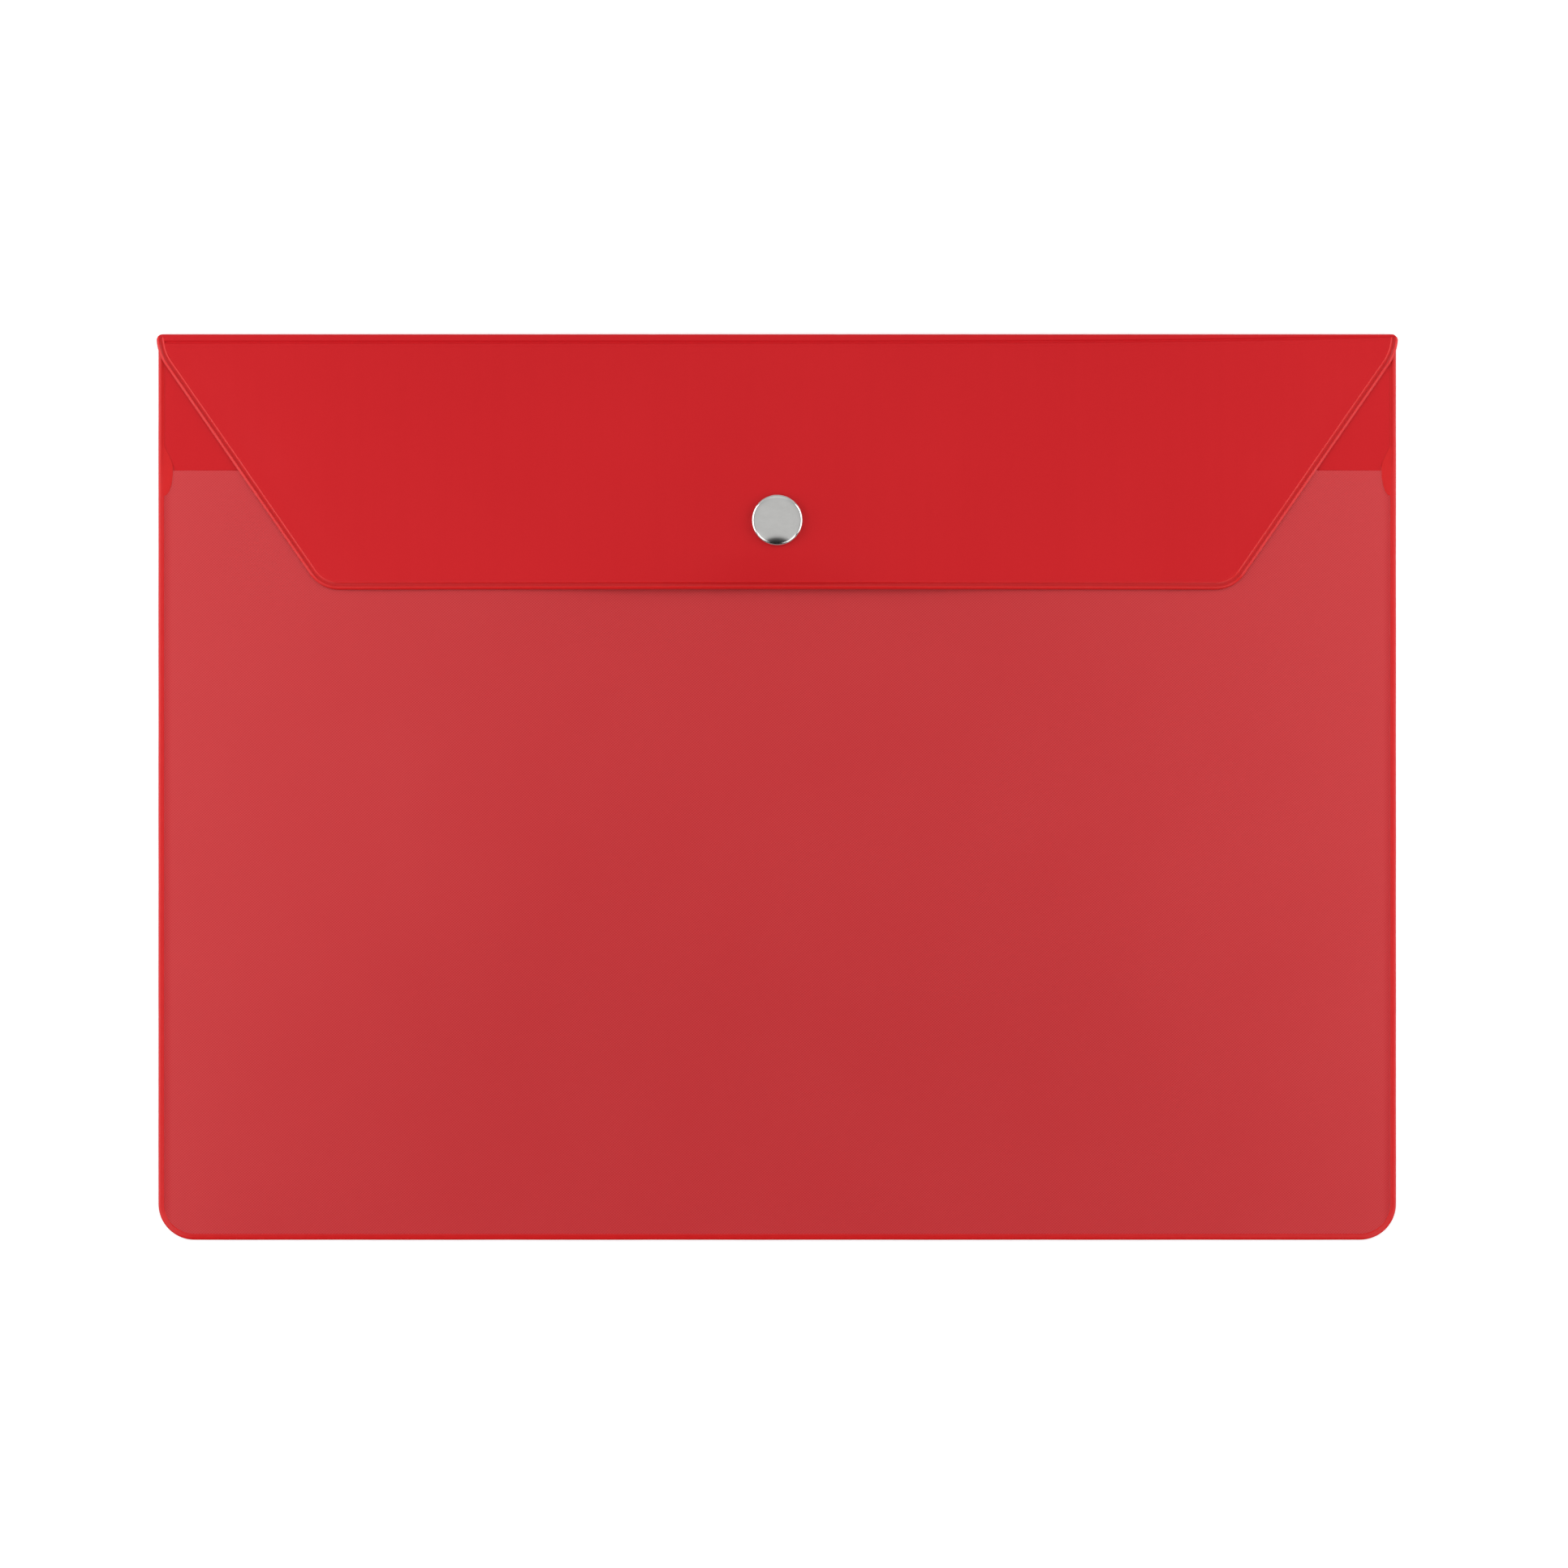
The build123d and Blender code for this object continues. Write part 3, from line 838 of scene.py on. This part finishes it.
def makeEmbossGroup(s):
    # two sets of parallel ridges that cross, one a little stronger in places, on a film with painted sheen
    # that lightens it towards its sides and its mouth, and painted shade that darkens it right beside the
    # welds
    group, into, out = newGroup(
        "crossEmboss",
        [
            ("Vector", "NodeSocketVector", None),
            ("Lines", "NodeSocketFloat", 640.0),
            ("Angle", "NodeSocketFloat", 0.838),
            ("SheenSides", "NodeSocketFloat", 0.22),
            ("SheenUpward", "NodeSocketFloat", 1.5),
            ("PaintedSheen", "NodeSocketFloat", -0.09),
            ("Margin", "NodeSocketFloat", 0.45),
        ],
        [("Tone", "NodeSocketFloat"), ("Height", "NodeSocketFloat")],
    )
    vector = into.outputs["Vector"]
    patches = noiseField(group, vector, s["patches"])
    ridges = []
    for sign in (1.0, -1.0):
        turn = addNode(group, "ShaderNodeVectorRotate", rotation_type="Z_AXIS")
        group.links.new(vector, turn.inputs["Vector"])
        group.links.new(mathNode(group, "MULTIPLY", into.outputs["Angle"], sign), turn.inputs["Angle"])
        wave = addNode(group, "ShaderNodeTexWave", wave_type="BANDS", bands_direction="X", wave_profile="SIN")
        group.links.new(turn.outputs["Vector"], wave.inputs["Vector"])
        group.links.new(into.outputs["Lines"], wave.inputs["Scale"])
        ridges.append(wave.outputs["Fac"])
    strength = mathNode(group, "ADD", mathNode(group, "MULTIPLY", patches, s["patchShare"]), s["firstShare"])
    crossed = weighted(group, (ridges[0], strength), (ridges[1], s["secondShare"]))
    height = mathNode(group, "MULTIPLY", crossed, s["depth"])
    group.links.new(height, out.inputs["Height"])
    split = addNode(group, "ShaderNodeSeparateXYZ")
    group.links.new(vector, split.inputs["Vector"])
    across = mathNode(group, "ABSOLUTE", split.outputs["X"])
    outward = mathNode(group, "MULTIPLY", across, 1 / s["sideReach"])
    outward = mathNode(group, "POWER", outward, s["sidePower"])
    # painted sheen: the film's tone rises towards its sides and towards its mouth, where the lamps light it
    # most
    paintedSheenTone = weighted(group, (outward, into.outputs["SheenSides"]), (split.outputs["Y"], into.outputs["SheenUpward"]))
    paintedSheenTone = mathNode(group, "ADD", paintedSheenTone, into.outputs["PaintedSheen"])
    # painted shade: a narrow band right beside the welds, where the welds shade the film, takes the tone down
    # again
    margin = addNode(group, "ShaderNodeMapRange", From_Min=s["marginFrom"], From_Max=s["marginTo"])
    margin.interpolation_type = "SMOOTHSTEP"
    group.links.new(across, margin.inputs["Value"])
    clear = mathNode(group, "MULTIPLY", margin.outputs["Result"], into.outputs["Margin"])
    paintedSheenTone = mathNode(group, "SUBTRACT", paintedSheenTone, clear)
    tone = weighted(group, (height, s["ridgeTone"]), (patches, s["patchTone"]))
    group.links.new(mathNode(group, "ADD", tone, paintedSheenTone, clamp=True), out.inputs["Tone"])
    return group


polishShape = {"scratch": (900.0, 7000.0, 2000.0), "dull": 420.0, "scratchTone": 0.45, "dullTone": 0.55}


def makePolishGroup(s):
    # polished plate: fine brushed scratches and slow dull patches
    group, into, out = newGroup(
        "polishedPlate",
        [("Vector", "NodeSocketVector", None)],
        [("Tone", "NodeSocketFloat"), ("Height", "NodeSocketFloat")],
    )
    vector = into.outputs["Vector"]
    scratch = noiseField(group, vector, 1.0, detail=3.0, rough=0.6, stretch=s["scratch"])
    dull = noiseField(group, vector, s["dull"])
    tone = weighted(group, (scratch, s["scratchTone"]), (dull, s["dullTone"]))
    group.links.new(tone, out.inputs["Tone"])
    group.links.new(scratch, out.inputs["Height"])
    return group


effects = {
    "calender": makeCalenderGroup(calenderShape),
    "fuse": makeFuseGroup(fuseShape),
    "emboss": makeEmbossGroup(embossShape),
    "polish": makePolishGroup(polishShape),
}


# Finishes: two tones of one colour, a range of roughness, a fine relief

finishes = {
    "redSheet": {
        "effect": "calender", "values": {"Streaks": 0.2},
        "tones": ((0.570, 0.0076, 0.0120), (0.608, 0.0105, 0.0150)),
        "roughness": (0.34, 0.44), "bump": 0.06, "depth": 0.00002,
        "metal": 0.0, "specular": 0.2, "alpha": 1.0,
    },
    # the fused bands' tone follows their painted highlights and painted shade
    "fusedRed": {
        "effect": "fuse", "values": {"Pits": 0.25}, "mask": "paintedLight", "maskShare": 0.85,
        "tones": ((0.460, 0.0080, 0.0104), (0.800, 0.0155, 0.0156)),
        "roughness": (0.20, 0.28), "bump": 0.03, "depth": 0.00003,
        "metal": 0.0, "specular": 0.28, "alpha": 1.0,
    },
    # the film's tone carries painted sheen towards its sides and its mouth and painted shade beside the welds
    "pocketFilm": {
        "effect": "emboss",
        "values": {
            "Lines": 641.0, "Angle": 0.838, "SheenSides": 0.22, "SheenUpward": 1.5, "PaintedSheen": -0.09, "Margin": 0.45,
        },
        "span": (0.0, 1.0), "tones": ((0.690, 0.003, 0.011), (0.804, 0.058, 0.065)),
        "roughness": (0.50, 0.64), "bump": 0.7, "depth": 0.00004,
        "metal": 0.0, "specular": 0.68, "alpha": 0.6,
    },
    "nickelPlate": {
        "effect": "polish", "values": {},
        "tones": ((0.72, 0.715, 0.70), (0.80, 0.795, 0.78)),
        "roughness": (0.07, 0.15), "bump": 0.08, "depth": 0.00001,
        "metal": 1.0, "specular": 0.5, "alpha": 1.0,
    },
    "springWire": {
        "effect": "polish", "values": {},
        "tones": ((0.44, 0.43, 0.41), (0.54, 0.53, 0.51)),
        "roughness": (0.26, 0.42), "bump": 0.15, "depth": 0.00001,
        "metal": 1.0, "specular": 0.5, "alpha": 1.0,
    },
}


def makeFinish(name, s):
    material = bpy.data.materials.new(name)
    material.use_nodes = True
    tree = material.node_tree
    tree.nodes.clear()
    coords = addNode(tree, "ShaderNodeTexCoord")
    effect = addNode(tree, "ShaderNodeGroup")
    effect.node_tree = effects[s["effect"]]
    for label, value in s["values"].items():
        effect.inputs[label].default_value = value
    tree.links.new(coords.outputs["Object"], effect.inputs["Vector"])
    ramp = addNode(tree, "ShaderNodeValToRGB")
    tone, span = effect.outputs["Tone"], s.get("span", (0.25, 0.75))
    # a per-point attribute, where a finish names one, mixes painted light into the tone
    if "mask" in s:
        mask = addNode(tree, "ShaderNodeAttribute", attribute_name=s["mask"])
        share = s["maskShare"]
        tone, span = weighted(tree, (mask.outputs["Fac"], share), (tone, 1 - share)), (0.0, 1.0)
    for stop, at, colour in zip(ramp.color_ramp.elements, span, s["tones"]):
        stop.position, stop.color = at, (*colour, 1.0)
    tree.links.new(tone, ramp.inputs["Fac"])
    rough = addNode(tree, "ShaderNodeMapRange", To_Min=s["roughness"][0], To_Max=s["roughness"][1])
    tree.links.new(effect.outputs["Tone"], rough.inputs["Value"])
    bump = addNode(tree, "ShaderNodeBump", Strength=s["bump"], Distance=s["depth"])
    tree.links.new(effect.outputs["Height"], bump.inputs["Height"])
    shader = addNode(tree, "ShaderNodeBsdfPrincipled", Metallic=s["metal"], Alpha=s["alpha"])
    shader.inputs["Specular IOR Level"].default_value = s["specular"]
    tree.links.new(ramp.outputs["Color"], shader.inputs["Base Color"])
    tree.links.new(rough.outputs["Result"], shader.inputs["Roughness"])
    tree.links.new(bump.outputs["Normal"], shader.inputs["Normal"])
    out = addNode(tree, "ShaderNodeOutputMaterial")
    tree.links.new(shader.outputs["BSDF"], out.inputs["Surface"])
    return material


materials = {name: makeFinish(name, s) for name, s in finishes.items()}
print("finishes made:", ", ".join(materials))


# Which piece stands for which solid, its finish and the body it moves with

pieces = [
    (backPanel, "back_panel", "redSheet", "red_sheet", "wallet"),
    (edgeWeld, "edge_weld", "fusedRed", "fused_red", "wallet"),
    (pocketFilm, "pocket_film", "pocketFilm", "pocket_film", "wallet"),
    (turned["snapStud"], "stud", "nickelPlate", "nickel", "wallet"),
    (turned["studPost"], "stud_post", "nickelPlate", "nickel", "wallet"),
    (flapPanel, "flap_panel", "redSheet", "red_sheet", "flap"),
    (flapBead, "flap_bead", "fusedRed", "fused_red", "flap"),
    (capShell, "cap_shell", "nickelPlate", "nickel", "flap"),
    (turned["capPost"], "cap_post", "nickelPlate", "nickel", "flap"),
    (turned["snapSocket"], "socket", "nickelPlate", "nickel", "flap"),
    (socketSpring, "socket_spring", "springWire", "spring_wire", "flap"),
    (foldStrip, "fold", "redSheet", "red_sheet", None),
]
for piece, node, finish, slot, body in pieces:
    piece.data.materials.append(materials[finish])
    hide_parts(node)
    if body:
        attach(piece, body)
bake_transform(foldStrip)

print("pieces ride on their bodies")


# Stage: white floor, soft light from both sides and from the top of the page

floorSettings = {"size": 12.0, "z": -0.3, "colour": 0.86, "rough": 0.9, "glow": 0.36}


def makeFloor(s):
    half, z = s["size"] / 2, s["z"] * mm
    corners = [(-half, -half, z), (half, -half, z), (half, half, z), (-half, half, z)]
    mesh = bpy.data.meshes.new("floor")
    mesh.from_pydata(corners, [], [(0, 1, 2, 3)])
    floor = bpy.data.objects.new("floor", mesh)
    scene.collection.objects.link(floor)
    material = bpy.data.materials.new("paleFloor")
    material.use_nodes = True
    tree = material.node_tree
    shader = tree.nodes["Principled BSDF"]
    shader.inputs["Base Color"].default_value = (s["colour"], s["colour"], s["colour"], 1)
    shader.inputs["Roughness"].default_value = s["rough"]
    shader.inputs["Specular IOR Level"].default_value = 0.0
    light = addNode(tree, "ShaderNodeLightPath")
    seen = mathNode(tree, "MAXIMUM", light.outputs["Is Camera Ray"], light.outputs["Is Glossy Ray"])
    seen = mathNode(tree, "MAXIMUM", seen, light.outputs["Is Transmission Ray"])
    shader.inputs["Emission Color"].default_value = (1, 1, 1, 1)
    tree.links.new(mathNode(tree, "MULTIPLY", seen, s["glow"]), shader.inputs["Emission Strength"])
    floor.data.materials.append(material)


lamps = {
    "leftBox": {"at": (-0.54, 0.10, 0.28), "size": (0.7, 0.5), "power": 2.6},
    "rightBox": {"at": (0.54, 0.10, 0.28), "size": (0.7, 0.5), "power": 2.4},
    "topBox": {"at": (0.0, 0.80, 0.70), "size": (2.0, 0.9), "power": 2.5},
    "leftKicker": {"at": (-0.547, -0.492, 0.817), "size": (0.37, 0.91), "power": 1.45},
    "rightKicker": {"at": (0.473, -0.564, 0.817), "size": (0.42, 0.91), "power": 1.65},
}


def makeLamps(settings):
    for name, s in settings.items():
        data = bpy.data.lights.new(name, "AREA")
        data.shape = "RECTANGLE"
        data.size, data.size_y = s["size"]
        data.energy = s["power"]
        lamp = bpy.data.objects.new(name, data)
        lamp.location = s["at"]
        away = lamp.location.normalized()
        lamp.rotation_mode = "QUATERNION"
        lamp.rotation_quaternion = away.to_track_quat("Z", "Y")
        lamp.visible_camera = False
        scene.collection.objects.link(lamp)


worldSettings = {
    "around": 0.19, "overhead": 0.64, "overheadRim": (0.86, 0.95),
    "darkTowards": (0.0, -0.559, 0.829), "darkShare": 1.0, "darkRim": (0.930, 0.950),
}


def makeWorld(s):
    # even light all round, more of it overhead, and a dark patch on the near side
    world = bpy.data.worlds.new("studio")
    world.use_nodes = True
    tree = world.node_tree
    background = tree.nodes["Background"]
    coords = addNode(tree, "ShaderNodeTexCoord")

    def lobe(direction, rim, inside, outside):
        # one value within a cone about a direction, another outside it, with a soft rim between two cosines
        towards = addNode(tree, "ShaderNodeVectorMath", operation="DOT_PRODUCT")
        towards.inputs[1].default_value = direction
        tree.links.new(coords.outputs["Generated"], towards.inputs[0])
        ramp = addNode(tree, "ShaderNodeMapRange", interpolation_type="SMOOTHSTEP")
        for label, value in zip(("From Min", "From Max", "To Min", "To Max"), (*rim, outside, inside)):
            ramp.inputs[label].default_value = value
        tree.links.new(towards.outputs["Value"], ramp.inputs["Value"])
        return ramp.outputs["Result"]

    overhead = lobe((0, 0, 1), s["overheadRim"], s["overhead"], s["around"])
    dark = lobe(s["darkTowards"], s["darkRim"], 1.0 - s["darkShare"], 1.0)
    background.inputs["Color"].default_value = (1, 1, 1, 1)
    tree.links.new(mathNode(tree, "MULTIPLY", overhead, dark), background.inputs["Strength"])
    scene.world = world


makeFloor(floorSettings)
makeLamps(lamps)
makeWorld(worldSettings)
print("stage lit")
